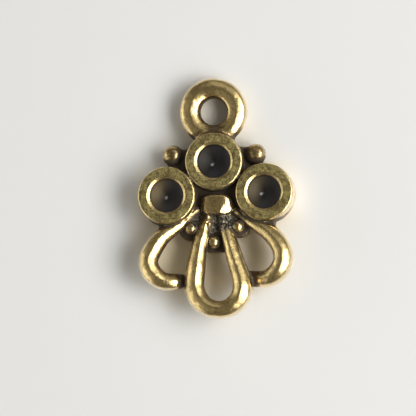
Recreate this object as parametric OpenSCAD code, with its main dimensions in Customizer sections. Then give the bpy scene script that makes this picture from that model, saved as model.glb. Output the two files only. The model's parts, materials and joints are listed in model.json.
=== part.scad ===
// Three-strand connector: a flat-backed jewellery link cast in one piece.
// One hanging ring at the top, three cups for small pointed-back stones, and
// three open petal loops at the bottom, one for each strand. The loops rise a
// little from the collar to their round ends.
// Millimetres. +Y runs up to the hanging ring, +Z faces the viewer, the back
// rests on Z = 0, and the origin is the middle of the outline on the back.

/* [Stone cups] */
// Outer diameter of a cup
cup_d = 4.74; // [4.72:0.01:4.8]
// Height of a cup from its back to its rim
cup_h = 2.3; // [2.1:0.05:2.6]
// Diameter of the seat that takes the girdle of the stone
seat_d = 2.66; // [2.5:0.02:2.8]
// Depth of the straight wall of the seat
seat_depth = 0.5; // [0.4:0.05:0.6]
// Depth of the whole hollow, straight seat and cone together
hollow_depth = 1.4; // [1.2:0.05:1.6]
// Sideways distance of an outer cup from the middle cup
cup_side = 3.93; // [3.9:0.01:4]
// Distance of the outer cups below the middle cup
cup_drop = 2.58; // [2.54:0.01:2.6]

/* [Hanging ring] */
// Thickness of the metal of the ring
ring_wire = 1.6; // [1.56:0.02:1.62]
// Outer diameter of the ring
ring_d = 5.4; // [5.34:0.02:5.44]
// Diameter of the drilled eye
eye_d = 2.26; // [2.26:0.01:2.32]
// Distance of the eye above the middle cup
ring_rise = 4.09; // [4:0.01:4.12]

/* [Petal loops] */
// Thickness of the metal at the round end of the middle loop
petal_wire = 1.52; // [1.4:0.02:1.6]
// Outer diameter of the round end of the middle loop
petal_d = 5.42; // [5.3:0.02:5.6]
// Distance of its round end below the middle cup
petal_drop = 9.78; // [9.7:0.01:9.9]
// Height of the metal's middle at that round end
petal_z = 1.94; // [1.8:0.02:2]
// Slope of the middle loop, rising from the collar, in degrees
petal_slope = 7; // [5:0.5:8]
// Thickness of the metal at the round end of a side loop
side_wire = 1.5; // [1.42:0.02:1.54]
// Outer diameter of the round end of a side loop
side_d = 5.12; // [5.04:0.02:5.2]
// Sideways distance of the round end of a side loop
side_x = 3.66; // [3.6:0.01:3.7]
// Distance of that round end below the middle cup
side_drop = 7.76; // [7.7:0.01:7.8]
// Height of the metal's middle at the round end of a side loop
side_z = 1.74; // [1.6:0.02:1.8]
// Slope of a side loop downwards from the collar, in degrees
side_slope = 5; // [4:0.5:6]
// Slope of a side loop outwards, in degrees
side_flare = 6.5; // [5:0.5:7]

/* [Balls and collar] */
// Diameter of the balls beside the middle cup
ball_d = 1.62; // [1.54:0.02:1.7]
// Diameter of the small grains between the legs
grain_d = 1; // [0.9:0.02:1.1]
// Width of the collar that binds the legs
collar_w = 2.54; // [2.4:0.02:2.6]
// Length of the collar along the link
collar_l = 1.72; // [1.6:0.02:1.8]

/* [Hidden] */
$fn = 72;

// heights of the features above the back
ring_z = 0.97;
collar_z = 0.95;
ball_z = 1.2;
grain_z = 1.35;
web_floor = 0.3;
web_top = 1.15;

// the outline is centred on the origin along Y
outline_top = ring_rise + ring_d / 2;
outline_low = -petal_drop - (petal_d - petal_wire) / 2 * cos(petal_slope) - petal_wire / 2;
middle_y = -(outline_top + outline_low) / 2;

// edges of a cup's rim and of its mouth
rim_round = 0.1;
mouth_bevel = 0.08;
hollow_tip_d = 0.3;

// where things sit, measured from the middle cup
ball_at = [3.35, 0.6];
collar_y = -3.4;
grain_low = [0, -6.4];
grain_side = [1.88, -5.22];

// top ends of the loop legs, buried in the collar, and their thickness there
leg_top = [0.62, -4.1];
leg_top_wire = 0.74;
side_leg_top = [1.0, -3.68];
side_leg_wire = 0.64;
// a straight piece starts this far inside the end of a bend, thinner by this much
tuck = 0.12;
tuck_thinner = 0.06;
// a side loop straightens at this turn and runs on into the middle loop
side_end_turn = 250;
side_end_run = 1;

// right half of the back web, from the ring down to the lowest grain, with a
// gusset between the outer cup and the shoulder of the side loop
//            x     y
web_half = [
    [0,    2.6],
    [1.2,  1.6],
    [2.0,  1.1],
    [3.3,  1.15],
    [3.9,  0.6],
    [4.4, -3.6],
    [4.9, -4.6],
    [4.85, -5.4],
    [4.4, -6.1],
    [3.2, -5.5],
    [2.7, -5.6],
    [1.7, -6.3],
    [1,   -6.5],
    [0.6, -7.3],
    [0,   -7.4]
];
antique_gold = "#a98a4b";
bright_gold = "#c9a863";
dark_gold = "#6e5c36";

function mirrored(p) = [-p[0], p[1]];
function reversed(list) = [for (i = [len(list) - 1:-1:0]) list[i]];
// the turn, from +X, at which a line from point p touches a circle on its right
function touch_turn(centre, r, p) =
    atan2(p[1] - centre[1], p[0] - centre[0]) - acos(r / norm(p - centre));
function on_circle(centre, r, turn) = centre + r * [cos(turn), sin(turn)];

// solid cup before its hollow is cut
module cup_body() {
    r = cup_d / 2;
    color(antique_gold)
    rotate_extrude()
    polygon([
        [0, 0],
        [r, 0],
        [r, cup_h - rim_round],
        [r - 0.3 * rim_round, cup_h - 0.3 * rim_round],
        [r - rim_round, cup_h],
        [0, cup_h]
    ]);
}

// straight seat with a bevelled mouth, and the cone for the stone's point
module stone_hollow() {
    r = seat_d / 2;
    translate([0, 0, cup_h])
    rotate_extrude()
    polygon([
        [0, -hollow_depth],
        [hollow_tip_d / 2, -hollow_depth],
        [r, -seat_depth],
        [r, -mouth_bevel],
        [r + mouth_bevel, 0],
        [r + mouth_bevel, 0.5],
        [0, 0.5]
    ]);
}

// round metal bent on an arc in the plane of the link
module bent_wire(centre, bend_r, wire, from, to) {
    translate([centre[0], centre[1], 0])
    rotate([0, 0, from])
    rotate_extrude(angle = to - from)
    translate([bend_r, 0])
    circle(d = wire);
}

// straight round metal from the end of a bend to a point, tapering from one wire to another
module tapered_leg(start, end, wire_start, wire_end) {
    run = end - start;
    translate([start[0], start[1], 0])
    rotate([0, 0, atan2(run[1], run[0])])
    rotate([0, 90, 0])
    translate([0, 0, -tuck])
    cylinder(h = norm(run) + tuck, d1 = wire_start - tuck_thinner, d2 = wire_end);
}

// tips a flat loop about its centre, to rise by one slope downwards and another to the right
module sloped(centre, height, down, right) {
    translate([centre[0], centre[1], height])
    rotate([-down, -right, 0])
    translate([-centre[0], -centre[1], 0])
    children();
}

module hanging_ring() {
    color(antique_gold)
    translate([0, ring_rise, ring_z])
    rotate_extrude()
    translate([(ring_d - ring_wire) / 2, 0])
    circle(d = ring_wire);
}

module ring_eye() {
    translate([0, ring_rise, ring_z])
    cylinder(h = 2 * ring_wire, d = eye_d, center = true);
}

// middle loop: a round end and two legs that narrow towards the collar
module middle_petal() {
    centre = [0, -petal_drop];
    bend_r = (petal_d - petal_wire) / 2;
    turn = touch_turn(centre, bend_r, leg_top);
    color(bright_gold)
    sloped(centre, petal_z, petal_slope, 0) {
        bent_wire(centre, bend_r, petal_wire, -180 - turn, turn);
        foot = on_circle(centre, bend_r, turn);
        tapered_leg(foot, leg_top, petal_wire, leg_top_wire);
        tapered_leg(mirrored(foot), mirrored(leg_top), petal_wire, leg_top_wire);
    }
}

// side loop: one leg up under its cup, the other end running under the middle loop
module side_petal() {
    centre = [side_x, -side_drop];
    bend_r = (side_d - side_wire) / 2;
    turn = touch_turn(centre, bend_r, side_leg_top);
    end = on_circle(centre, bend_r, side_end_turn);
    onward = side_end_run * [sin(side_end_turn), -cos(side_end_turn)];
    color(antique_gold)
    sloped(centre, side_z, side_slope, side_flare) {
        bent_wire(centre, bend_r, side_wire, side_end_turn - 360, turn);
        tapered_leg(on_circle(centre, bend_r, turn), side_leg_top, side_wire, side_leg_wire);
        tapered_leg(end, end + onward, side_wire, side_wire - 2 * tuck_thinner);
    }
}

// barrel-shaped bead lying along the link, over the tops of the legs
module collar() {
    r = collar_w / 2;
    half = collar_l / 2;
    shoulder = 0.28;
    color(antique_gold)
    intersection() {
        translate([0, collar_y, collar_z])
        rotate([-90, 0, 0])
        rotate_extrude()
        polygon([
            [0, -half],
            [r - shoulder, -half],
            [r - 0.3 * shoulder, -half + 0.3 * shoulder],
            [r, -half + shoulder],
            [r, half - shoulder],
            [r - 0.3 * shoulder, half - 0.3 * shoulder],
            [r - shoulder, half],
            [0, half]
        ]);
        translate([-collar_w, collar_y - collar_l, web_floor / 2])
        cube([2 * collar_w, 2 * collar_l, 2 * cup_h]);
    }
}

module side_ball() {
    color(bright_gold)
    translate([ball_at[0], ball_at[1], ball_z])
    sphere(d = ball_d);
}

// small grain on a short round stem that stands on the web
module grain(at) {
    color(bright_gold)
    translate([at[0], at[1], 0]) {
        translate([0, 0, grain_z])
        sphere(d = grain_d);
        translate([0, 0, web_floor])
        cylinder(h = grain_z - web_floor, d = 0.8 * grain_d);
    }
}

// thin plate at the back that ties the features together
module back_web() {
    color(dark_gold)
    translate([0, 0, web_floor])
    linear_extrude(web_top - web_floor)
    polygon(concat(web_half, [for (p = reversed(web_half)) if (p[0] > 0) mirrored(p)]));
}

// the same feature on the right and, mirrored, on the left
module both_sides() {
    children();
    mirror([1, 0, 0])
    children();
}

module connector_casting() {
    translate([0, middle_y, 0])
    difference() {
        union() {
            back_web();
            hanging_ring();
            cup_body();
            both_sides() translate([cup_side, -cup_drop, 0]) cup_body();
            both_sides() side_ball();
            collar();
            both_sides() side_petal();
            middle_petal();
            grain(grain_low);
            both_sides() grain(grain_side);
        }
        ring_eye();
        stone_hollow();
        both_sides() translate([cup_side, -cup_drop, 0]) stone_hollow();
    }
}

connector_casting();
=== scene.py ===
"""An antique gold three-strand connector, lying on its back on a pale floor.

The link is one casting. Each of its features is worked out below in millimetres
from the middle of the middle cup, then all are fused into one skin of metal.
"""
import json
import math
import bpy
import mathutils
import numpy as np
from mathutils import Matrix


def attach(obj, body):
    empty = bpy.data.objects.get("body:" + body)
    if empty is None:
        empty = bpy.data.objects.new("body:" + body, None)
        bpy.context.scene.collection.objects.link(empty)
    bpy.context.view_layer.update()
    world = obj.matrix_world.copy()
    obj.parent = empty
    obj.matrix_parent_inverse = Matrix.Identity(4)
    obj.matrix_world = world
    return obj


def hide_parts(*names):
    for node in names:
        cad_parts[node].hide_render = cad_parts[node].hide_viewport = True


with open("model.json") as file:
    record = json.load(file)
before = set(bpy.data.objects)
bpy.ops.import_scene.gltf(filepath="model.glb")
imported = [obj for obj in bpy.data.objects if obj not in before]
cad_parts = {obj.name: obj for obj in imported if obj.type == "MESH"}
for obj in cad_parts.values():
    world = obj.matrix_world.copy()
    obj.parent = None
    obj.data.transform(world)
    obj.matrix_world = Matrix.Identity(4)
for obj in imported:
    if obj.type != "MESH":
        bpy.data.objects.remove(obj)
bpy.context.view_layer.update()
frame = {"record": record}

# Stone cups
# Three round cups for pointed-back stones: a flat rim, a bevelled mouth, a short
# seat for the girdle and a bowl for the point. The stones themselves are not set.
# a millimetre in metres
MM = 0.001
mounts = {mount["name"]: mount for mount in frame["record"]["mounts"]}
middle_cup_y = mounts["seat_middle"]["pos_m"][1] / MM
cup_places = [(0.0, 0.0), (-3.87, -2.6), (3.95, -2.61)]
cup_r = 2.31
cup_h = 2.29
# how much wider the wall gets for each millimetre down, and the fillet at its foot
cup_draft = 0.02
cup_fillet = 0.12
rim_round = 0.18
seat_r = 1.34
mouth_width = 0.22
mouth_slope = math.radians(32)
# how far the edges that the hollow leaves are rounded
hollow_edge = 0.03
# depths of the bowl and of the seat and the half width of the bowl's tip, all before
# the radius that rounds them is added
bowl_depth = 1.24
seat_depth = 0.46
bowl_tip = 0.1
bowl_round = 0.22
# the outline of the hollow runs on past its axis and up past its mouth
past_axis = 0.5
past_mouth = 0.6
bowl_half = [
    (-past_axis, -bowl_depth),
    (bowl_tip, -bowl_depth),
    (seat_r - bowl_round, -seat_depth),
    (seat_r - bowl_round, past_mouth),
    (-past_axis, past_mouth),
]
# half outline of a whole cup for the rough cast: (radius, height) from its foot, over
# the rim and down to the tip of its hollow
rough_edge = 0.05
rough_mouth = 0.13
rough_seat = 0.5
rough_bowl = (0.4, 1.3)
rough_tip = 1.4
rough_cup = [
    (0, 0),
    (cup_r, 0),
    (cup_r, cup_h - rough_edge),
    (cup_r - rough_edge, cup_h),
    (seat_r + mouth_width, cup_h),
    (seat_r, cup_h - rough_mouth),
    (seat_r, cup_h - rough_seat),
    (rough_bowl[0], cup_h - rough_bowl[1]),
    (0, cup_h - rough_tip),
]
# farther than anything on the link
far = 1e9

features = []


def woven(points, close_rows, close_columns):
    """A grid of points, rows by columns, as a list of corners and a list of four-sided faces."""
    rows, columns = points.shape[:2]
    r = np.arange(rows if close_rows else rows - 1)[:, None]
    c = np.arange(columns if close_columns else columns - 1)[None, :]
    r2, c2 = (r + 1) % rows, (c + 1) % columns
    faces = np.stack([r * columns + c, r2 * columns + c, r2 * columns + c2, r * columns + c2], -1)
    return points.reshape(-1, 3), faces.reshape(-1, 4)


def turned(outline, at, close, steps=96):
    """A surface of revolution: each (radius, height) of the outline goes once round the upright axis."""
    outline = np.asarray(outline, float)
    turn = np.linspace(0, 2 * math.pi, steps, endpoint=False)[:, None]
    points = np.stack([
        at[0] + outline[:, 0] * np.cos(turn),
        at[1] + outline[:, 0] * np.sin(turn),
        at[2] + outline[:, 1] + 0 * turn,
    ], -1)
    return woven(points, True, close)


def away_from(p, at):
    """Distance in plan from an upright axis."""
    return np.hypot(p[:, 0] - at[0], p[:, 1] - at[1])


def rounded(out, up, edge):
    """Distance to where two faces meet, given the distances to each, with the edge rounded."""
    out, up = out + edge, up + edge
    return np.hypot(np.maximum(out, 0), np.maximum(up, 0)) + np.minimum(np.maximum(out, up), 0) - edge


def outline_gap(u, v, corners):
    """Signed distance to a closed polygon in its own plane: the nearest edge, negative inside."""
    corners = np.asarray(corners, float)
    nearest = np.full(len(u), far)
    inside = np.zeros(len(u), bool)
    for a, b in zip(corners, np.roll(corners, -1, axis=0)):
        run = b - a
        along = np.clip(((u - a[0]) * run[0] + (v - a[1]) * run[1]) / (run @ run), 0, 1)
        away = (u - a[0] - along * run[0]) ** 2 + (v - a[1] - along * run[1]) ** 2
        nearest = np.minimum(nearest, away)
        crosses = (a[1] > v) != (b[1] > v)
        where = a[0] + run[0] * (v - a[1]) / (run[1] if run[1] else 1)
        inside ^= crosses & (u < where)
    return np.sqrt(nearest) * np.where(inside, -1, 1)


def cup_gap(p, place):
    """Distance to a plain round cup with its hollow not yet cut: a little wider at its foot."""
    wall = away_from(p, place) - cup_r - cup_draft * (cup_h - p[:, 2])
    return rounded(wall, np.abs(p[:, 2] - cup_h / 2) - cup_h / 2, rim_round)


def hollow_gap(p, place):
    """Distance to the turned hollow of a cup: the rounded bowl, and the cone of its bevelled mouth."""
    r = away_from(p, place)
    down = p[:, 2] - cup_h
    bowl = outline_gap(r, down, bowl_half) - bowl_round
    mouth = (r - seat_r - mouth_width) * math.sin(mouth_slope) - down * math.cos(mouth_slope)
    return np.minimum(bowl, mouth)


features += [turned(rough_cup, (*place, 0), False) for place in cup_places]

# Hanging ring
# A thick ring at the top of the link, cast in one with the middle cup. The upper
# jump ring goes through its eye, which is drilled true after casting.
ring_at = np.array([-0.04, 4.16, 0.83])
ring_bend = 1.88
ring_wire = 0.84
ring_fillet = 0.45
# the ring is rubbed nearly flat on both sides of its crest, at this angle and distance,
# and the flats run softly into the round of the metal
ring_slope = math.radians(24)
ring_flat = 0.813
flat_edge = 0.12
# its metal is a little lower than it is wide
ring_lower = 0.96
eye_at = (0.03, 4.12)
eye_r = 1.08
eye_edge = 0.04
# steps round the metal of the ring, a ball or a shelf in the rough cast
round_steps = 32


def softly(a, b, fillet):
    """The nearer of two surfaces, with a round fillet of about that size where they meet."""
    share = np.clip(0.5 + 0.5 * (b - a) / fillet, 0, 1)
    return b + (a - b) * share - fillet * share * (1 - share)


def ring_gap(p):
    """Distance to a torus: to its centre circle, in plan and in height, less its wire, and to its flats."""
    plan = away_from(p, ring_at) - ring_bend
    above = (p[:, 2] - ring_at[2]) / ring_lower
    flat = np.abs(plan) * math.sin(ring_slope) + above * math.cos(ring_slope) - ring_flat
    return -softly(ring_wire - np.hypot(plan, above), -flat, flat_edge)


around = np.linspace(0, 2 * math.pi, round_steps, endpoint=False)
ring_outline = np.stack([ring_bend + ring_wire * np.cos(around), ring_wire * np.sin(around)], -1)
features.append(turned(ring_outline, ring_at, True))

# Side balls
# Two plain balls in the notches between the middle cup and the outer cups, cast in
# one with them. The right one stands a little prouder.
ball_r = 0.83
ball_places = [(-3.4, 0.74, 0.92), (3.28, 0.56, 1.08)]
ball_fillet = 0.16


def ball_gap(p, place, r):
    """Distance to a ball."""
    return np.linalg.norm(p - np.asarray(place), axis=1) - r


def ball(place, r, steps=round_steps):
    """A ball as a half circle turned about the upright axis."""
    rise = np.linspace(-math.pi / 2, math.pi / 2, steps // 2 + 1)
    return turned(np.stack([r * np.cos(rise), r * np.sin(rise)], -1), place, False, steps)


features += [ball(place, ball_r) for place in ball_places]

# Petal loops
# Three open loops of round metal, one for each strand, that narrow up to the collar.
# They rise from the collar to their round ends, and the inner ends of the side loops
# dive in under the middle one.
loop_fillet = 0.16
# stations along the middle of the metal, round each loop with its opening on the left:
# across, up, height and half thickness
middle_stations = [
    (-0.65, -4.2, 1.2, 0.42), (-1.05, -5.5, 1.35, 0.56), (-1.35, -6.4, 1.43, 0.63),
    (-1.55, -7.4, 1.52, 0.7), (-1.75, -8.6, 1.62, 0.78), (-1.9, -9.8, 1.71, 0.79),
    (-1.75, -10.6, 1.8, 0.78), (-1.35, -11.25, 1.88, 0.75), (-0.7, -11.75, 1.95, 0.71),
    (0.1, -11.92, 2.0, 0.69), (0.9, -11.8, 2.03, 0.72), (1.5, -11.35, 2.04, 0.76),
    (1.95, -10.75, 2.05, 0.8), (2.05, -10.15, 2.05, 0.8), (1.9, -9.3, 1.97, 0.73),
    (1.6, -8.3, 1.86, 0.68), (1.25, -7.1, 1.68, 0.64), (0.95, -6.0, 1.49, 0.57),
    (0.6, -4.8, 1.29, 0.45), (0.43, -4.15, 1.18, 0.36),
]
left_stations = [
    (-1.5, -3.7, 1.2, 0.36), (-2.1, -4.2, 1.25, 0.4), (-2.6, -4.6, 1.32, 0.44),
    (-3.1, -5.0, 1.4, 0.49), (-3.75, -5.4, 1.47, 0.59), (-4.45, -5.9, 1.55, 0.7),
    (-5.1, -6.8, 1.65, 0.76), (-5.5, -7.5, 1.71, 0.78), (-5.55, -8.0, 1.75, 0.79),
    (-5.4, -8.5, 1.77, 0.79), (-5.0, -9.0, 1.77, 0.77), (-4.5, -9.37, 1.69, 0.74),
    (-3.9, -9.5, 1.55, 0.69), (-3.2, -9.45, 1.35, 0.65), (-2.7, -9.3, 0.9, 0.48),
]
right_stations = [
    (2.3, -9.3, 0.95, 0.55), (2.85, -9.45, 1.2, 0.62), (3.5, -9.57, 1.5, 0.65),
    (4.2, -9.47, 1.77, 0.72), (4.85, -9.05, 1.94, 0.78), (5.25, -8.45, 2.0, 0.79),
    (5.35, -7.8, 2.02, 0.79), (5.25, -7.2, 1.98, 0.78), (4.95, -6.65, 1.9, 0.76),
    (4.5, -6.05, 1.78, 0.72), (3.95, -5.6, 1.64, 0.65), (3.3, -5.2, 1.5, 0.56),
    (2.7, -4.85, 1.38, 0.47), (2.1, -4.35, 1.26, 0.38), (1.6, -3.95, 1.18, 0.32),
]
# how far the crest of each loop lies nearer its hole than the middle of the metal, as a
# share of its height, and how far out its two flats lie, as a share of the metal
# stations, crest, flats
loops = [
    (middle_stations, 0.1, 0.94),
    (left_stations, 0.0, 0.965),
    (right_stations, 0.1, 0.965),
]
# the metal of the loops is a little taller than it is wide, and rubbed nearly flat
# on both sides of the crest, at this angle
taller = 1.15
flat_slope = math.radians(27)
# steps along each loop's path, and how often it is eased
path_pace = 0.14
easings = 10
# the lattice in plan that keeps what the nearest metal of a loop is like: its step,
# and how far it reaches past the middle of the metal
plan_step = 0.05
plan_margin = 1.5


def smooth_path(stations, steps=6):
    """A curve along all stations: each stretch is a cubic whose slopes follow the stations on both sides.

    It is then walked at an even pace, and each point is eased towards its two
    neighbours a few times, to even out the bends.
    """
    given = np.array(stations)
    chords = np.linalg.norm(np.diff(given, axis=0), axis=1)
    slopes = np.gradient(given, np.concatenate([[0], np.cumsum(chords)]), axis=0)
    t = np.linspace(0, 1, steps, endpoint=False)[:, None, None]
    start, end = given[:-1], given[1:]
    start_slope, end_slope = slopes[:-1] * chords[:, None], slopes[1:] * chords[:, None]
    curve = (2 * t ** 3 - 3 * t ** 2 + 1) * start + (t ** 3 - 2 * t ** 2 + t) * start_slope
    curve = curve + (3 * t ** 2 - 2 * t ** 3) * end + (t ** 3 - t ** 2) * end_slope
    curve = np.vstack([curve.transpose(1, 0, 2).reshape(-1, 4), given[-1:]])
    gone = np.concatenate([[0], np.cumsum(np.linalg.norm(np.diff(curve, axis=0), axis=1))])
    pace = np.linspace(0, gone[-1], int(gone[-1] / path_pace) + 1)
    curve = np.stack([np.interp(pace, gone, curve[:, i]) for i in range(4)], -1)
    for easing in range(easings):
        curve[1:-1] = 0.25 * curve[:-2] + 0.5 * curve[1:-1] + 0.25 * curve[2:]
    return curve


def plan_of(stations):
    """A lattice over the loop, seen from above, that keeps what the nearest point of its path is like.

    At each place: the way outwards from the path, the way past its ends, its height
    and its wire.
    """
    path = smooth_path(stations)
    low = path[:, :2].min(0) - plan_margin
    shape = np.ceil((path[:, :2].max(0) + plan_margin - low) / plan_step).astype(int) + 1
    steps = np.meshgrid(np.arange(shape[0]), np.arange(shape[1]), indexing="ij")
    spots = low + plan_step * np.stack(steps, -1)
    nearest = np.full(shape, far)
    kept = np.zeros((*shape, 4))
    for i, (a, b) in enumerate(zip(path, path[1:])):
        run = b[:2] - a[:2]
        gone = (spots - a[:2]) @ run / (run @ run)
        share = np.clip(gone, 0, 1)
        away = spots - a[:2] - share[..., None] * run
        distance = np.hypot(away[..., 0], away[..., 1])
        outwards = np.where(away[..., 0] * run[1] - away[..., 1] * run[0] > 0, distance, -distance)
        past = np.zeros(shape)
        if i in (0, len(path) - 2):
            past = np.where((gone < 0) if i == 0 else (gone > 1), (gone - share) * math.hypot(*run), 0)
            outwards = np.sign(outwards) * np.sqrt(np.maximum(distance ** 2 - past ** 2, 0))
        closer = distance < nearest
        nearest = np.where(closer, distance, nearest)
        height, wire = (a[k] + share * (b[k] - a[k]) for k in (2, 3))
        kept[closer] = np.stack([outwards, past, height, wire], -1)[closer]
    return low, kept


def cells(places, sizes, just_inside=0.001):
    """Places in the steps of a lattice, kept inside it: the cell each is in, and the share of the way across.

    Both come with one row for each axis.
    """
    inside = np.clip(places.T, 0, np.array(sizes)[:, None] - 1 - just_inside)
    cell = inside.astype(int)
    return cell, inside - cell


def eased_between(lattice, cell, share):
    """The values of a lattice inside its cells: the nearer corners of a cell count for more."""
    total = 0
    for corner in np.ndindex(*(2,) * len(cell)):
        weight = math.prod(np.abs(1 - step - part) for step, part in zip(corner, share))
        spot = tuple((row + step) % size for row, step, size in zip(cell, corner, lattice.shape))
        total = total + weight * lattice[spot].T
    return total


def read_plan(p, low, kept):
    """The values kept in a plan at any place, and how far beyond the plan the place lies."""
    places = (p[:, :2] - low) / plan_step
    cell, share = cells(places, kept.shape[:2])
    beyond = plan_step * np.hypot(*(places.T - cell - share))
    return (*eased_between(kept, cell, share), beyond)


def loop_gap(p, plan, skew, flat_share):
    """Distance to a loop: to its path in plan and in height, less its wire there, and to its two flats."""
    outwards, past, height, wire, beyond = read_plan(p, *plan)
    above = p[:, 2] - height
    aside = outwards + skew * above
    gap = np.sqrt(aside ** 2 + past ** 2 + (above / taller) ** 2) - wire
    flat = np.abs(aside) * math.sin(flat_slope) + above / taller * math.cos(flat_slope)
    return -softly(-gap, flat_share * wire - flat, flat_edge) + beyond


def loop_grid(stations, sides=24):
    """A round tube carried along a loop, its ends drawn in to a point."""
    path = smooth_path(stations)
    ahead = np.gradient(path[:, :2], axis=0)
    ahead /= np.linalg.norm(ahead, axis=1)[:, None]
    path = np.vstack([path[:1], path, path[-1:]])
    ahead = np.vstack([ahead[:1], ahead, ahead[-1:]])
    path[[0, -1], 3] = 0
    section = np.linspace(0, 2 * math.pi, sides, endpoint=False)[None, :]
    wires = path[:, 3:]
    points = np.stack([
        path[:, :1] - ahead[:, 1:] * wires * np.cos(section),
        path[:, 1:2] + ahead[:, :1] * wires * np.cos(section),
        path[:, 2:3] + taller * wires * np.sin(section),
    ], -1)
    return woven(points, False, True)


plans = [(plan_of(stations), skew, flat_share) for stations, skew, flat_share in loops]
features += [loop_grid(loop[0]) for loop in loops]

# Collar
# A barrel-shaped bead lying across the link, cast over the tops of the legs as if it
# bound them. Its right end is shorter than its left one, and knocked off to a slope.
collar_at = (0.1, -3.42, 0.95)
collar_half = (1.34, 0.84, 1.06)
# how square its outline is: 2 is an ellipse
collar_square = 2.8
collar_round = 0.3
collar_fillet = 0.1
# how much the right end is drawn in, above and below
shorter_above = 0.5
shorter_below = 0.3
# the middle of the upper edge of the knocked-off face, the way it faces, and its edge
slope_at = (0.75, -3.58, 1.94)
slope_way = (0.44, -0.235, 0.867)
slope_edge = 0.08
collar_floor = 0.2
collar_top = 1.9
# corners of its outline for the rough cast, as shares of its half length and width
rough_collar = [(-0.9, -1), (0.8, -1), (1, -0.4), (1, 0.4), (0.8, 1), (-0.9, 1)]


def past_slope(p):
    """Distance outwards from the knocked-off face of the collar."""
    return (p - slope_at) @ np.array(slope_way)


def collar_gap(p):
    """Distance to a barrel whose outline across the link is a superellipse, shorter towards its right end."""
    u, v, w = (np.abs(p[:, i] - collar_at[i]) for i in range(3))
    squared = (u / collar_half[0]) ** collar_square + (w / collar_half[2]) ** collar_square
    share = np.clip((p[:, 0] - collar_at[0]) / collar_half[0], 0, 1)
    shorter = np.where(p[:, 1] > collar_at[1], shorter_above, shorter_below) * share ** 3
    gap = rounded(squared ** (1 / collar_square) - 1, v - collar_half[1] + shorter, collar_round)
    gap = -softly(-gap, -past_slope(p), slope_edge)
    return np.maximum(gap, collar_floor - p[:, 2])


def plate(outline, bottom, top):
    """A closed flat plate: the outline at both heights, drawn in to a point in the middle of each face."""
    outline = np.asarray(outline, float)
    inner = outline.mean(0) + 0 * outline
    levels = [(inner, bottom), (outline, bottom), (outline, top), (inner, top)]
    points = np.stack([np.column_stack([line, np.full(len(line), z)]) for line, z in levels], 1)
    return woven(points, True, False)


collar_outline = [
    (collar_at[0] + x * collar_half[0], collar_at[1] + y * collar_half[1]) for x, y in rough_collar
]
features.append(plate(collar_outline, collar_floor, collar_top))

# Grains
# Three small round grains, cast in the gaps between the tops of the legs. Each sits
# on a round shelf of the web.
grain_r = 0.54
grain_places = [(-0.26, -6.42, 1.4), (-2.07, -5.22, 1.4), (1.68, -5.25, 1.4)]
grain_fillet = 0.08
# the middle of the shelf under each, and its radius
shelves = [(-0.2, -6.3, 0.7), (-2.15, -5.25, 0.93), (1.84, -5.3, 0.78)]
features += [ball(place, grain_r) for place in grain_places]

# Back web
# A plain plate between the cups, the collar and the tops of the legs. It ties the
# casting together, and a round shelf of it stands out below each grain.
web_floor = 0.3
web_top = 1.05
web_round = 0.2
web_fillet = 0.1
shelf_fillet = 0.3
# the ground between the legs stands higher and is full of small lumps
ground_at = (-0.2, -4.8)
ground_half = (2.0, 0.9)
ground_rise = 0.2
# right half of the outline, from the ring down to the lowest grain: across, up
web_right = [
    (1.2, 2.0), (1.9, 1.3), (2.75, 1.2), (3.35, 0.8), (3.8, 0.2), (4.2, -3.6), (4.72, -4.6),
    (4.72, -5.2), (4.3, -5.6), (3.5, -5.2), (2.6, -4.9), (1.3, -5.4), (1.3, -6.6), (0.75, -7.2),
]
web_outline = web_right + [(-x, y) for x, y in web_right][::-1]


def near_spot(p, at, half):
    """How near a place is in plan to a spot: a bell curve, 1 in its middle and a third at its half width."""
    off = [(p[:, i] - at[i]) / half[i] for i in range(2)]
    return np.exp(-off[0] ** 2 - off[1] ** 2)


def web_gap(p):
    """Distance to the web: a flat plate with rounded edges, with a disc under each grain."""
    out = outline_gap(p[:, 0], p[:, 1], web_outline)
    for x, y, r in shelves:
        out = softly(out, away_from(p, (x, y)) - r, shelf_fillet)
    half = (web_top - web_floor + ground_rise * near_spot(p, ground_at, ground_half)) / 2
    return rounded(out, np.abs(p[:, 2] - web_floor - half) - half, web_round)


features.append(plate(web_outline, web_floor, web_top))
for x, y, r in shelves:
    disc = [(x + r * math.cos(turn), y + r * math.sin(turn)) for turn in around]
    features.append(plate(disc, web_floor, web_top))

# The casting
# The features are cast as one piece of soft white metal, so the joints between
# them are small fillets, and nothing on it is quite flat, straight or sharp.
skin_step = 0.08
# the lumps of the skin: their size, how far they stand out anywhere, and how much
# farther on the ground between the legs
skin_lumps = [
    (1.2, 0.02, 0.0),
    (0.4, 0.012, 0.05),
    (0.23, 0.0, 0.04),
]
# cells of the lattice that the lumps are read from, and where on it the link lies
lump_cells = 24
lump_shift = 40.5
rng = np.random.default_rng(11)
lumps = rng.random((lump_cells, lump_cells, lump_cells))
# rounds of laying the skin on the metal, how many of them also even out its corners,
# the farthest that a corner moves in one round, and the flattest slope that is trusted
settlings = 8
evenings = 4
longest_move = 0.1
least_slope = 0.25
# the least length that anything is divided by
tiny = 1e-9


def unevenness(p, size):
    """Smooth random lumps of that size, from -1 to 1: a lattice of random values, eased between."""
    places = p.T / size + lump_shift
    cell = np.floor(places).astype(int)
    share = places - cell
    return 2 * eased_between(lumps, cell, share * share * (3 - 2 * share)) - 1


def feature_gaps(p):
    """The distance to each feature by itself, with the fillet that joins it to those before."""
    gaps = [(web_gap(p), web_fillet)]
    gaps += [(cup_gap(p, place), cup_fillet) for place in cup_places]
    gaps += [(ring_gap(p), ring_fillet)]
    gaps += [(ball_gap(p, place, ball_r), ball_fillet) for place in ball_places]
    gaps += [(loop_gap(p, *plan), loop_fillet) for plan in plans]
    gaps += [(collar_gap(p), collar_fillet)]
    return gaps + [(ball_gap(p, place, grain_r), grain_fillet) for place in grain_places]


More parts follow.
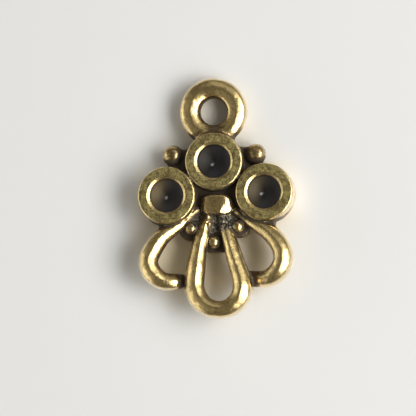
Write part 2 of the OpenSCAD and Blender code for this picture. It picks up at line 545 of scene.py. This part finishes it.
def metal_gap(p, rough=True):
    """Distance to the whole casting: all features joined with fillets, then the hollows and the eye cut."""
    gap = np.full(len(p), far)
    for one, fillet in feature_gaps(p):
        gap = softly(gap, one, fillet)
    gap = np.maximum(gap, -p[:, 2])
    if rough:
        on_ground = near_spot(p, ground_at, ground_half)
        for size, anywhere, farther in skin_lumps:
            gap = gap + (anywhere + farther * on_ground) * unevenness(p, size)
    for place in cup_places:
        gap = -softly(-gap, hollow_gap(p, place), hollow_edge)
    return -softly(-gap, away_from(p, eye_at) - eye_r, eye_edge)


def outward(p, step=0.012):
    """The direction in which the distance grows, from four points round each point."""
    total = 0
    for corner in ((1, -1, -1), (-1, -1, 1), (-1, 1, -1), (1, 1, 1)):
        corner = np.array(corner, float)
        total = total + corner * metal_gap(p + step * corner)[:, None]
    return total / (4 * step)


corners, faces, count = [], [], 0
for points, quads in features:
    corners.append(points)
    faces.append(quads + count)
    count += len(points)
rough_cast = bpy.data.meshes.new("rough_cast")
rough_cast.from_pydata(np.vstack(corners).tolist(), [], np.vstack(faces).tolist())
casting = bpy.data.objects.new("connector", rough_cast)
bpy.context.scene.collection.objects.link(casting)
fuse = casting.modifiers.new("fuse", "REMESH")
fuse.mode = "VOXEL"
fuse.voxel_size = skin_step
fused = bpy.data.meshes.new_from_object(casting.evaluated_get(bpy.context.evaluated_depsgraph_get()))
casting.modifiers.clear()
casting.data = fused

skin = np.zeros(len(fused.vertices) * 3)
fused.vertices.foreach_get("co", skin)
skin = skin.reshape(-1, 3)
edges = np.zeros(len(fused.edges) * 2, int)
fused.edges.foreach_get("vertices", edges)
edges = edges.reshape(-1, 2)
ends = np.concatenate([edges[:, 0], edges[:, 1]])
others = np.concatenate([edges[:, 1], edges[:, 0]])
neighbours = np.bincount(ends, minlength=len(skin))[:, None]
for settling in range(settlings):
    if settling < evenings:
        # half way to the middle of its neighbours, before it is laid back on the metal
        around_it = np.stack([np.bincount(ends, skin[others, i], len(skin)) for i in range(3)], -1)
        skin = skin + 0.5 * (around_it / neighbours - skin)
    slope = outward(skin)
    move = metal_gap(skin)[:, None] * slope / np.maximum((slope ** 2).sum(1), least_slope)[:, None]
    length = np.linalg.norm(move, axis=1)[:, None]
    skin = skin - move * np.minimum(1, longest_move / np.maximum(length, tiny))
normals = outward(skin)
normals /= np.maximum(np.linalg.norm(normals, axis=1), tiny)[:, None]

# Marks of wear
# What dipping and rubbing leave on the casting depends on where its skin lies: in a
# recess, on a rim or an edge, or in a hollow. Each such mark is kept with the skin.
edge_depth = 0.12
crease_reaches = (0.2, 0.4)
# a place this near to a feature lies on it
touch = 0.05
# the lattice that keeps the distance to the metal, so that ways out are quick to follow
room_low = np.array([-7.2, -13.4, -1.0])
room_step = 0.12
room_shape = (121, 176, 45)
# ways out of each place, how far along they are looked at, where they start, and the
# share of that reach within which metal blocks them
ways_out = 32
skin_reaches = (0.25, 0.5, 0.9, 1.5, 2.4)
off_skin = 0.05
skin_blocked = 0.3
golden_angle = math.pi * (3 - math.sqrt(5))
# the lower part of the walls of the cups keeps a thin stain: how much, between which
# heights it comes in, and the most that a wall faces up
wall_stain = 0.27
wall_stain_heights = (2.0, 0.8)
wall_facing = 0.5
# the rim of a cup: how steeply it faces up, how far down it goes, and how far out
rim_facing = (0.85, 0.97)
rim_depth = 0.15
rim_margin = 0.1
# the hollow: how far outside the seat it counts, its foot, and its fading in below the rim
seat_margin = 0.02
hollow_foot = 0.6
hollow_fade = (0.1, 0.3)
# a joint between two features: its reach, the facing that it comes in over, and the
# least that is left on what faces straight up
joint_reach = 0.42
joint_facing = (1.05, 0.75)
joint_least = 0.3
# the crests of the left legs are rubbed bright: how far across, over which facing, and
# the share of the joint's stain that goes
bright_leg_side = 0.1
bright_leg_facing = (0.3, 0.6)
bright_leg_rubbed = 0.8
collar_facing = (0.8, 0.9)
flank_facing = (0.78, 0.18)
# how much stain each kind of place keeps, where a joint keeps 1
neck_stain = 0.6
ground_stain = 0.65
ball_stain = 0.42
collar_stain = 0.3
leg_stain = 0.7
# spots that no cloth gets into: the neck below the ring, and the top of the right leg
neck_at = (0.05, 2.75)
neck_half = (1.25, 0.55)
right_leg_at = (2.2, -4.35)
right_leg_half = (0.7, 0.6)
# the hollows have painted light on their left and upper sides, where the light from
# the right falls, as a browner colour: the way there, how much the brown grows along
# it, how much of it the middle has, how far from the tip it is full, and the least
# distance from the axis that is divided by
lit_side_way = (-0.85, 0.5)
lit_side_spread = 0.75
lit_side_middle = 0.35
lit_side_from_tip = 0.9
least_away = 0.2
# how much of this painted light the middle, the left and the right cup have
cup_painted_light = (0.15, 1.0, 0.75)
# and a painted paler grey, standing in for fill light, where their walls face left
fill_way = (-1.2, 0.25)
fill_middle = 0.35
# a painted highlight: a bright speck put at each glint near the tip of a hollow,
# fading in between these radii, and only below this height
painted_glint_spots = [(-0.26, -0.13), (-4.04, -2.65), (3.62, -2.63)]
glint_radii = (0.12, 0.04)
glint_below = 1.4

room_steps = np.stack(np.meshgrid(*[np.arange(n) for n in room_shape], indexing="ij"), -1)
room_places = room_low + room_step * room_steps.reshape(-1, 3)
room_gap = metal_gap(room_places, False).reshape(room_shape)


def keep(mesh, name, values):
    """Stores one number for each corner of a mesh, for its material to read."""
    mark = mesh.attributes.new(name, "FLOAT", "POINT")
    mark.data.foreach_set("value", values.astype(np.float32))


def ramp(value, low, high):
    """The share of the way from low to high, never less than 0 or more than 1."""
    return np.clip((value - low) / (high - low), 0, 1)


def room(p):
    """The distance to the metal at any place, eased straight between the points of the lattice."""
    return eased_between(room_gap, *cells((p - room_low) / room_step, room_shape))


def blocked(p, way, reaches, blocked_share):
    """How far metal blocks a way out: 1 where it is met at any of the reaches, 0 in the open."""
    met = np.zeros(len(p))
    for reach in reaches:
        met = np.maximum(met, ramp(room(p + reach * way), blocked_share * reach, 0))
    return met


# how sheltered each place is: the share of all ways out that soon meet metal again,
# for ways spread evenly over a ball by the golden angle
sheltered = np.zeros(len(skin))
share_of_all = np.zeros(len(skin))
for i in range(ways_out):
    up = 1 - (2 * i + 1) / ways_out
    aside = math.sqrt(1 - up * up)
    way = np.array([aside * math.cos(i * golden_angle), aside * math.sin(i * golden_angle), up])
    facing = np.maximum(normals @ way, 0)
    sheltered += facing * blocked(skin + off_skin * normals, way, skin_reaches, skin_blocked)
    share_of_all += facing
sheltered /= share_of_all
height = skin[:, 2]
facing_up = normals[:, 2]
near_cup = np.min([cup_gap(skin, place) for place in cup_places], axis=0) < touch
low_wall = near_cup * (facing_up < wall_facing) * ramp(height, *wall_stain_heights)
keep(fused, "sheltered", sheltered + wall_stain * low_wall)
# creases, where a step straight out comes near metal
crease = sum(ramp(room(skin + reach * normals), reach, 0) for reach in crease_reaches)
keep(fused, "crease", crease / len(crease_reaches))
# sharp edges, where the metal below the skin is thin
keep(fused, "edge", ramp(metal_gap(skin - edge_depth * normals, False), -edge_depth, 0))
# the flat rims of the cups, the hollows inside them, and the browner sides of these
rim = np.zeros(len(skin))
hollow = np.zeros(len(skin))
painted_lit_side = np.zeros(len(skin))
for place, lit_share in zip(cup_places, cup_painted_light):
    away = away_from(skin, place)
    on_top = ramp(facing_up, *rim_facing) * (height > cup_h - rim_depth)
    rim = np.maximum(rim, on_top * (away > seat_r) * (away < cup_r + rim_margin))
    in_seat = away < seat_r + seat_margin
    down_in = (height > hollow_foot) * ramp(cup_h - height, *hollow_fade)
    hollow = np.maximum(hollow, in_seat * down_in)
    # painted light on the side of each hollow that the light from the right falls on
    towards = (skin[:, :2] - place) @ np.array(lit_side_way) / np.maximum(away, least_away)
    on_lit_side = np.clip(lit_side_spread * towards + lit_side_middle, 0, 1) * ramp(away, 0, lit_side_from_tip)
    painted_lit_side = np.maximum(painted_lit_side, lit_share * in_seat * on_lit_side)
keep(fused, "rim", rim)
keep(fused, "hollow", hollow)
keep(fused, "painted_lit_side", painted_lit_side)
# painted fill light on the walls of the hollows that face left
keep(fused, "painted_fill", hollow * np.clip(fill_middle + normals[:, :2] @ np.array(fill_way), 0, 1))
# painted glints near the tips of the hollows
painted_glint = np.max([ramp(away_from(skin, at), *glint_radii) for at in painted_glint_spots], axis=0)
keep(fused, "painted_glint", hollow * painted_glint * (height < glint_below))
# joints, where a second feature of the casting is near, least on what faces straight up
second = np.sort(np.stack([one for one, fillet in feature_gaps(skin)]), 0)[1]
joint = ramp(second, joint_reach, 0) * (1 - rim)
joint = joint * np.maximum(ramp(facing_up, *joint_facing), joint_least)
# the crests of the left legs, which are rubbed bright up to their tops
on_legs = np.min([loop_gap(skin, *plan) for plan in plans[:2]], axis=0) < touch
bright_leg = on_legs * (skin[:, 0] < bright_leg_side) * ramp(facing_up, *bright_leg_facing)
joint = joint * (1 - bright_leg_rubbed * bright_leg)
neck = near_spot(skin, neck_at, neck_half) * (1 - rim)
right_leg = near_spot(skin, right_leg_at, right_leg_half) * (1 - rim)
ground = near_spot(skin, ground_at, ground_half) * (1 - rim) * (1 - bright_leg)
on_ball = np.min([ball_gap(skin, place, ball_r) for place in ball_places], axis=0) < touch
collar_room = collar_gap(skin)
on_collar = (collar_room < touch) * ramp(facing_up, *collar_facing) * (past_slope(skin) < -touch)
stains = [
    joint,
    neck_stain * neck,
    ground_stain * ground,
    ball_stain * on_ball,
    collar_stain * on_collar,
    leg_stain * right_leg,
]
keep(fused, "joint", np.max(stains, axis=0))
keep(fused, "ground", ground * (collar_room > touch))
# flanks, which face sideways: they get a painted paler reflection of the bright floor, and more roughness and
# fewer pits
keep(fused, "flank_and_reflection", ramp(np.abs(facing_up), *flank_facing) * (1 - sheltered))

skin[:, 1] += middle_cup_y
fused.vertices.foreach_set("co", (skin * MM).ravel())
fused.polygons.foreach_set("use_smooth", np.ones(len(fused.polygons), bool))
fused.update()
fused.normals_split_custom_set_from_vertices(normals.tolist())

# Antique gold
# Gold plate over the casting, dipped in a dark patina and rubbed back: dark brown
# stays in the recesses and pits, and the crests and edges are bright.
bright_gold = (0.88, 0.67, 0.3)
dull_gold = (0.64, 0.49, 0.22)
painted_reflection_gold = (1.0, 0.88, 0.7)
rim_gold = (0.7, 0.59, 0.24)
rim_dull = (0.36, 0.3, 0.12)
grit_gold = (0.5, 0.44, 0.3)
grit_dark = (0.05, 0.045, 0.042)
stain_brown = (0.26, 0.18, 0.085)
patina_brown = (0.115, 0.09, 0.06)
painted_lit_brown = (0.11, 0.083, 0.042)
patina_black = (0.02, 0.019, 0.019)
painted_fill_grey = (0.12, 0.115, 0.12)
painted_glint_silver = (0.7, 0.68, 0.66)
# roughness of the brightest and the dullest plate, and of each kind of place
plate_matt = (0.19, 0.28)
rim_matt = 0.45
flank_matt = 0.42
patina_matt = 0.55
# the strength and depth of the relief, and how deep each kind of unevenness is as a
# share of it
relief_strength = 0.8
relief_depth = 0.02
rim_pits = 0.8
all_pits = 0.3
fine_depth = 0.6
blotch_depth = 0.9
grit_depth = 2.5
# how much patina the pits keep anywhere, how much more on the rims, and less on flanks
pit_patina = 0.35
rim_patina = 0.35
flank_rubbed = 0.3
# how much of the shine of metal the patina takes away, and how glossy its coat is
patina_dulls = 0.7
patina_gloss = 0.25
# the limits between which a noise or a mark comes in: the dull clouds of the plate, the
# speckle of the rims, patina in pits and blotches and away from edges, its pale and its
# dark brown, its dull coat, the grains of the grit, the ground, the hollows, the matt
cloud_limits = (0.35, 0.65)
speckle_limits = (0.41, 0.57)
pit_limits = (0.46, 0.34)
blotch_limits = (0.55, 0.35)
edge_limits = (0.55, 0.25)
pale_limits = (0.0, 0.5)
dark_limits = (0.4, 0.9)
coat_limits = (0.5, 1.0)
grit_limits = (0.44, 0.66)
ground_limits = (0.25, 0.55)
hollow_limits = (0.3, 0.9)
matt_limits = (0.3, 0.7)

gold = bpy.data.materials.new("antique_gold_plate")
gold.use_nodes = True
nodes, links = gold.node_tree.nodes, gold.node_tree.links
shader = nodes["Principled BSDF"]
shader.inputs["Metallic"].default_value = 1.0
shader.inputs["Specular IOR Level"].default_value = patina_gloss
place_on_piece = nodes.new("ShaderNodeTexCoord")


def reading(name):
    """A value stored on the skin."""
    node = nodes.new("ShaderNodeAttribute")
    node.attribute_name = name
    return node.outputs["Fac"]


def spots_of(size_mm, detail, roughness):
    """Cloudy noise whose spots are about that size."""
    node = nodes.new("ShaderNodeTexNoise")
    node.inputs["Scale"].default_value = 1 / (size_mm * MM)
    node.inputs["Detail"].default_value = detail
    node.inputs["Roughness"].default_value = roughness
    links.new(place_on_piece.outputs["Object"], node.inputs["Vector"])
    return node.outputs["Fac"]


def sums(operation, a, b, clamp=False):
    """One sum of two values, each a socket or a number."""
    node = nodes.new("ShaderNodeMath")
    node.operation = operation
    node.use_clamp = clamp
    for socket, value in zip(node.inputs, (a, b)):
        if isinstance(value, (int, float)):
            socket.default_value = value
        else:
            links.new(value, socket)
    return node.outputs[0]


def plus(a, b):
    """Two values added."""
    return sums("ADD", a, b)


def times(a, b):
    """Two values multiplied."""
    return sums("MULTIPLY", a, b)


def larger(a, b):
    """The larger of two values."""
    return sums("MAXIMUM", a, b)


def ragged(value, noise, by):
    """A value made to wander up and down with a noise, by up to half of that much."""
    return plus(value, times(sums("SUBTRACT", noise, 0.5), by))


def between(value, low, high, to_low=0.0, to_high=1.0):
    """The value as a share of the way from low to high, eased at both ends."""
    node = nodes.new("ShaderNodeMapRange")
    node.interpolation_type = "SMOOTHSTEP"
    links.new(value, node.inputs["Value"])
    for name, number in zip(("From Min", "From Max", "To Min", "To Max"), (low, high, to_low, to_high)):
        node.inputs[name].default_value = number
    return node.outputs["Result"]


def mixed(share, a, b):
    """Two colours mixed by a share."""
    node = nodes.new("ShaderNodeMix")
    node.data_type = "RGBA"
    links.new(share, node.inputs["Factor"])
    for name, value in (("A", a), ("B", b)):
        socket = [s for s in node.inputs if s.name == name and s.type == "RGBA"][0]
        if isinstance(value, tuple):
            socket.default_value = (*value, 1)
        else:
            links.new(value, socket)
    return [s for s in node.outputs if s.type == "RGBA"][0]


# size of the spots in millimetres, layers of detail, and how strong the finer layers are
cloud = spots_of(1.1, 3, 0.5)
blotch = spots_of(0.3, 3, 0.6)
fine = spots_of(0.13, 4, 0.6)
pit = spots_of(0.1, 2, 0.5)
grit = spots_of(0.16, 3, 0.7)
rim_mark, hollow_mark, ground_mark = reading("rim"), reading("hollow"), reading("ground")
flank_and_reflection_mark, edge_mark = reading("flank_and_reflection"), reading("edge")
# the plate before it was dipped, with a painted paler reflection on its flanks, and speckled on the rims
speckle = plus(times(blotch, 0.5), times(fine, 0.5))
plated = mixed(between(cloud, *cloud_limits), bright_gold, dull_gold)
plated = mixed(flank_and_reflection_mark, plated, painted_reflection_gold)
plated = mixed(rim_mark, plated, mixed(between(speckle, *speckle_limits), rim_dull, rim_gold))
# how much patina is left: most in the hollows and creases, some wherever the skin is
# sheltered, some in the pits of the rims, and none on sharp edges
patina = hollow_mark
# mark, the noise that makes its limit ragged, by how much, and where patina comes in
patina_causes = [
    ("sheltered", blotch, 0.35, 0.16, 0.6),
    ("crease", fine, 0.3, 0.25, 0.6),
    ("joint", fine, 0.7, 0.25, 0.75),
]
for mark, noise, by, low, high in patina_causes:
    patina = larger(patina, between(ragged(reading(mark), noise, by), low, high))
pitted = sums("SUBTRACT", plus(times(rim_mark, rim_patina), pit_patina), times(flank_and_reflection_mark, flank_rubbed))
patina = larger(patina, times(between(pit, *pit_limits), pitted))
patina = larger(patina, times(between(blotch, *blotch_limits), times(rim_mark, rim_patina)))
patina = sums("MULTIPLY", patina, between(edge_mark, *edge_limits), True)
stained = mixed(between(patina, *pale_limits), plated, stain_brown)
stained = mixed(between(patina, *dark_limits), stained, patina_brown)
gritty = mixed(between(grit, *grit_limits), grit_dark, grit_gold)
stained = mixed(between(ground_mark, *ground_limits), stained, gritty)
# in the hollows: the painted light on their lit side
hollow_colour = mixed(reading("painted_lit_side"), patina_black, painted_lit_brown)
# the painted fill light on the walls that face left
hollow_colour = mixed(reading("painted_fill"), hollow_colour, painted_fill_grey)
# the painted glints
hollow_colour = mixed(reading("painted_glint"), hollow_colour, painted_glint_silver)
links.new(mixed(between(hollow_mark, *hollow_limits), stained, hollow_colour), shader.inputs["Base Color"])
# the patina itself is a dull dark coat, not bare metal
bare = sums("SUBTRACT", 1.0, times(between(patina, *coat_limits), patina_dulls))
links.new(bare, shader.inputs["Metallic"])
matt = between(cloud, *matt_limits, *plate_matt)
matt = larger(matt, times(rim_mark, rim_matt))
matt = larger(matt, times(flank_and_reflection_mark, flank_matt))
matt = larger(matt, times(patina, patina_matt))
links.new(matt, shader.inputs["Roughness"])
# small pits, deepest on the rims, and the grit of the ground
bumps = times(pit, plus(times(rim_mark, rim_pits), all_pits))
bumps = plus(bumps, plus(times(fine, fine_depth), times(blotch, blotch_depth)))
bumps = plus(bumps, times(times(ground_mark, grit), grit_depth))
relief = nodes.new("ShaderNodeBump")
relief.inputs["Strength"].default_value = relief_strength
relief.inputs["Distance"].default_value = relief_depth * MM
links.new(bumps, relief.inputs["Height"])
links.new(relief.outputs["Normal"], shader.inputs["Normal"])
fused.materials.clear()
fused.materials.append(gold)

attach(casting, "root")
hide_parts("connector_casting")

# Floor
# A plain pale sheet that the link lies on. A warmer colour is painted on it where it
# lies between the metal, as inside the loops: painted light for what the gold throws there.
floor_half = 1500.0
# its lines run close together this far across and up from the middle of the link
fine_halves = (8, 12)
fine_step = 0.2
plain_paper = (0.88, 0.88, 0.86, 1)
painted_bounce_paper = (0.9, 0.81, 0.6, 1)
paper_matt = 0.8
# level ways out from just above the floor, as for the skin
floor_ways = 12
floor_reaches = (0.4, 0.8, 1.3, 1.9, 2.6)
above_floor = 0.8
floor_blocked = 0.25
# the share of blocked ways at which the painted warmer light begins, and where it is full
bounce_shares = (0.3, 0.9)
# the ring's eye gets less of this painted gold light than the loops do
eye_bounce = 0.4

floor_lines = [
    np.concatenate([[-floor_half], np.arange(-half, half + fine_step / 2, fine_step), [floor_half]])
    for half in fine_halves
]
floor_grid = np.stack(np.meshgrid(*floor_lines, [0.0], indexing="ij"), -1)[:, :, 0]
floor_spots, floor_faces = woven(floor_grid, False, False)
floor_mesh = bpy.data.meshes.new("floor")
floor_mesh.from_pydata((floor_spots * MM).tolist(), [], floor_faces.tolist())
floor_spots = floor_spots - (0, middle_cup_y, -above_floor)
painted_gold_bounce = np.zeros(len(floor_spots))
for turn in np.linspace(0, 2 * math.pi, floor_ways, endpoint=False):
    way = np.array([math.cos(turn), math.sin(turn), 0])
    painted_gold_bounce += blocked(floor_spots, way, floor_reaches, floor_blocked) / floor_ways
painted_gold_bounce = ramp(painted_gold_bounce, *bounce_shares) * np.where(floor_spots[:, 1] > 0, eye_bounce, 1)
keep(floor_mesh, "painted_gold_bounce", painted_gold_bounce)
floor = bpy.data.objects.new("floor", floor_mesh)
bpy.context.scene.collection.objects.link(floor)
paper = bpy.data.materials.new("pale_paper")
paper.use_nodes = True
paper_shader = paper.node_tree.nodes["Principled BSDF"]
paper_shader.inputs["Roughness"].default_value = paper_matt
# the painted warmer light, mixed into the colour of the paper
glow = paper.node_tree.nodes.new("ShaderNodeAttribute")
glow.attribute_name = "painted_gold_bounce"
tinted = paper.node_tree.nodes.new("ShaderNodeMix")
tinted.data_type = "RGBA"
paper.node_tree.links.new(glow.outputs["Fac"], tinted.inputs["Factor"])
plain, warmer = [socket for socket in tinted.inputs if socket.type == "RGBA"]
plain.default_value = plain_paper
warmer.default_value = painted_bounce_paper
tint = [socket for socket in tinted.outputs if socket.type == "RGBA"][0]
paper.node_tree.links.new(tint, paper_shader.inputs["Base Color"])
floor_mesh.materials.append(paper)

# Light
# A near window on the right in three panes, a pale wall beyond it, a far low wall and
# the dim room on the left, and a dull even room all round.
lamp_distance = 0.5
# tilt from overhead and bearing in degrees, sizes in metres, power in watts:
# name, tilt, bearing, height, width, power
lamps = [
    ("window", 50, -4, 0.27, 0.38, 1.65),
    ("window_low", 57, -30, 0.24, 0.38, 1.15),
    ("window_edge", 53, 22, 0.2, 0.4, 0.34),
    ("side_wall", 53, 66, 0.25, 0.6, 0.16),
    ("far_wall", 77, 188, 0.22, 0.8, 0.7),
    ("room_left", 45, 192, 0.4, 0.8, 0.1),
]
room_colour = (1.0, 0.94, 0.82, 1)
# how bright the room is level with the link, and overhead
room_level = 0.16
room_overhead = 0.145


def soft_light(name, tilt_deg, bearing_deg, tall, wide, power):
    """A rectangle of light, tilted from overhead towards a bearing and turned to face the link."""
    lamp = bpy.data.lights.new(name, "AREA")
    lamp.shape = "RECTANGLE"
    lamp.size, lamp.size_y = tall, wide
    lamp.energy = power
    light = bpy.data.objects.new(name, lamp)
    tilt, bearing = math.radians(tilt_deg), math.radians(bearing_deg)
    light.location = (
        lamp_distance * math.sin(tilt) * math.cos(bearing),
        lamp_distance * math.sin(tilt) * math.sin(bearing),
        lamp_distance * math.cos(tilt),
    )
    light.rotation_euler = (0, tilt, bearing)
    bpy.context.scene.collection.objects.link(light)


for lamp_row in lamps:
    soft_light(*lamp_row)

room_world = bpy.data.worlds.new("room")
room_world.use_nodes = True
world_nodes, world_links = room_world.node_tree.nodes, room_world.node_tree.links
every_way = world_nodes.new("ShaderNodeTexCoord")
parts = world_nodes.new("ShaderNodeSeparateXYZ")
rising = world_nodes.new("ShaderNodeMapRange")
world_links.new(every_way.outputs["Generated"], parts.inputs["Vector"])
world_links.new(parts.outputs["Z"], rising.inputs["Value"])
rising.inputs["To Min"].default_value = room_level
rising.inputs["To Max"].default_value = room_overhead
world_nodes["Background"].inputs["Color"].default_value = room_colour
world_links.new(rising.outputs["Result"], world_nodes["Background"].inputs["Strength"])
bpy.context.scene.world = room_world

# Camera
# Above the link, leaning to the right and towards its lower end, and turned so
# that the ring leans left.
lean_right = math.radians(6)
lean_down = math.radians(7)
roll = math.radians(1.6)
camera_distance = 0.3
sensor_mm = 36
nearest_seen = 0.01
# pixels of the picture to a millimetre, where the middle of the middle cup's rim
# stands in it, and the size of the frame
view_scale = 12.55
cup_in_picture = (213.6, 160.9)
frame_px = 416

lens = bpy.data.cameras.new("camera")
lens.sensor_width = sensor_mm
lens.lens = sensor_mm * camera_distance / (frame_px / view_scale * MM)
lens.clip_start = nearest_seen
camera = bpy.data.objects.new("camera", lens)
rolled = np.array([
    [math.cos(roll), math.sin(roll), 0],
    [-math.sin(roll), math.cos(roll), 0],
    [0, 0, 1],
])
back = rolled @ np.array([
    math.sin(lean_right) * math.cos(lean_down),
    -math.sin(lean_down),
    math.cos(lean_right) * math.cos(lean_down),
])
right = rolled @ np.array([math.cos(lean_right), 0, -math.sin(lean_right)])
up = np.cross(back, right)
offset = np.array([cup_in_picture[0] - frame_px / 2, frame_px / 2 - cup_in_picture[1]]) / view_scale
target = np.array([0, middle_cup_y, cup_h]) - offset[0] * right - offset[1] * up
pose = mathutils.Matrix(np.column_stack([right, up, back]).tolist()).to_4x4()
pose.translation = mathutils.Vector((target * MM + camera_distance * back).tolist())
camera.matrix_world = pose
bpy.context.scene.collection.objects.link(camera)
bpy.context.scene.camera = camera
bpy.context.scene.view_settings.view_transform = "Standard"
